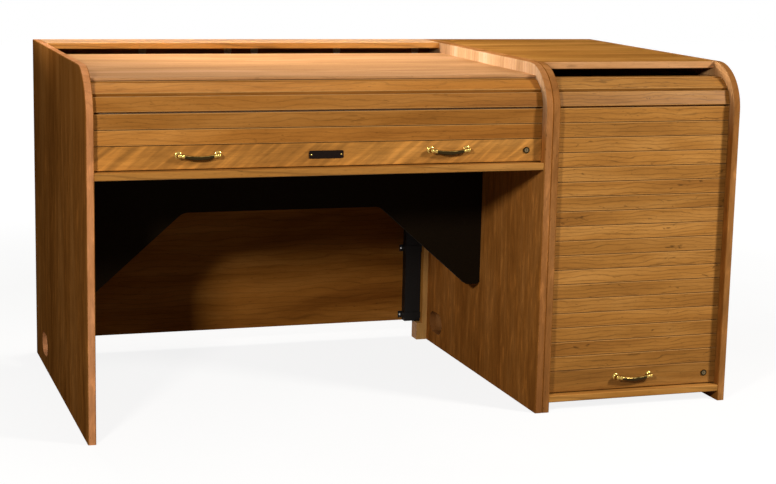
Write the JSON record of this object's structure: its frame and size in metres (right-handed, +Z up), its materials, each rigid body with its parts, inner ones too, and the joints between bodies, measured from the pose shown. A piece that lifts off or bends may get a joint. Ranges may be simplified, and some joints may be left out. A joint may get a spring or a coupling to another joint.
{
  "type": "roll-top desk with side cabinet",
  "caption": "Desk with a slatted roll-top over its writing surface and an attached side cabinet behind a slatted roll-up front; both curtains run in grooves in the side panels.",
  "frame": {"origin": "middle of the footprint, on the floor", "axes": "+X to the right along the width, +Y to the rear, +Z up; the front faces -Y"},
  "size_m": [1.918, 1.064, 1.012],
  "materials": {
    "cherry_side": "satin lacquer, upright grain",
    "cherry_board": "satin lacquer, grain along the width",
    "cherry_slat": "satin lacquer, grain along the slat",
    "cherry_rail": "satin lacquer, curly figure",
    "black_laminate": "matte black laminate",
    "black_plastic": "matte black",
    "grey_plastic": "dull dark grey",
    "pale_wood": "thin lacquer",
    "canvas": "plain weave",
    "brass": "polished",
    "black_plate": "semi-gloss black, bare",
    "steel": "dull nickel"
  },
  "bodies": {
    "carcass": {"desk_left_side": "cherry_side", "desk_right_side": "cherry_side", "cabinet_left_side": "cherry_side", "cabinet_right_side": "cherry_side", "writing_top": "cherry_board", "desk_deck": "cherry_board", "rear_board": "cherry_board", "desk_back_panel": "cherry_board", "cabinet_top": "cherry_board", "cabinet_bottom": "cherry_board", "cabinet_back": "cherry_board", "desk_slat_4": "cherry_slat", "desk_slat_5": "cherry_slat", "cabinet_bend_slat_1": "cherry_slat", "cabinet_bend_slat_2": "cherry_slat", "cabinet_bend_slat_3": "cherry_slat", "knee_arch": "black_laminate", "cable_duct": "black_plastic", "duct_clips": "black_plastic", "cable_grommets": "grey_plastic", "corner_battens": "pale_wood", "foot_blocks": "pale_wood", "desk_bend_canvas": "canvas", "desk_tail_canvas": "canvas", "cabinet_bend_canvas": "canvas", "desk_strike": "steel", "cabinet_strike": "steel"},
    "desk_curtain": {"desk_lift_rail": "cherry_rail", "desk_left_pull": "brass", "desk_right_pull": "brass", "nameplate": "black_plate", "desk_lock_body": "brass", "desk_slat_1": "cherry_slat", "desk_slat_2": "cherry_slat", "desk_slat_3": "cherry_slat", "desk_canvas": "canvas"},
    "desk_lock": {"desk_lock_plug": "steel"},
    "cabinet_curtain": {"cabinet_lift_rail": "cherry_rail", "cabinet_pull": "brass", "cabinet_lock_body": "brass", "cabinet_slat_01": "cherry_slat", "cabinet_slat_02": "cherry_slat", "cabinet_slat_03": "cherry_slat", "cabinet_slat_04": "cherry_slat", "cabinet_slat_05": "cherry_slat", "cabinet_slat_06": "cherry_slat", "cabinet_slat_07": "cherry_slat", "cabinet_slat_08": "cherry_slat", "cabinet_slat_09": "cherry_slat", "cabinet_slat_10": "cherry_slat", "cabinet_slat_11": "cherry_slat", "cabinet_slat_12": "cherry_slat", "cabinet_slat_13": "cherry_slat", "cabinet_slat_14": "cherry_slat", "cabinet_slat_15": "cherry_slat", "cabinet_slat_16": "cherry_slat", "cabinet_slat_17": "cherry_slat", "cabinet_slat_18": "cherry_slat", "cabinet_canvas": "canvas"},
    "cabinet_lock": {"cabinet_lock_plug": "steel"}
  },
  "joints": [
    {"name": "desk_curtain_lift", "type": "hinge", "parent": "carcass", "child": "desk_curtain", "pos_m": [-0.298, -0.28248, 0.83055], "axis": [-1, 0, 0], "range_deg": [0, 45], "deforming": ["desk_slat_1", "desk_slat_2", "desk_slat_3", "desk_canvas", "desk_slat_4", "desk_bend_canvas"]},
    {"name": "desk_lock_turn", "type": "hinge", "parent": "desk_curtain", "child": "desk_lock", "pos_m": [0.294, -0.506, 0.7715], "axis": [0, -1, 0], "range_deg": [0, 90]},
    {"name": "cabinet_curtain_lift", "type": "slide", "parent": "carcass", "child": "cabinet_curtain", "axis": [0, 0, 1], "range_m": [0, 0.77], "deforming": ["cabinet_slat_01", "cabinet_slat_02", "cabinet_slat_03", "cabinet_slat_04", "cabinet_slat_05", "cabinet_slat_06", "cabinet_slat_07", "cabinet_slat_08", "cabinet_slat_09", "cabinet_slat_10", "cabinet_slat_11", "cabinet_slat_12", "cabinet_slat_13", "cabinet_slat_14", "cabinet_slat_15", "cabinet_slat_16", "cabinet_slat_17", "cabinet_slat_18", "cabinet_canvas"]},
    {"name": "cabinet_lock_turn", "type": "hinge", "parent": "cabinet_curtain", "child": "cabinet_lock", "pos_m": [0.899, -0.506, 0.0835], "axis": [0, -1, 0], "range_deg": [0, 90]}
  ]
}
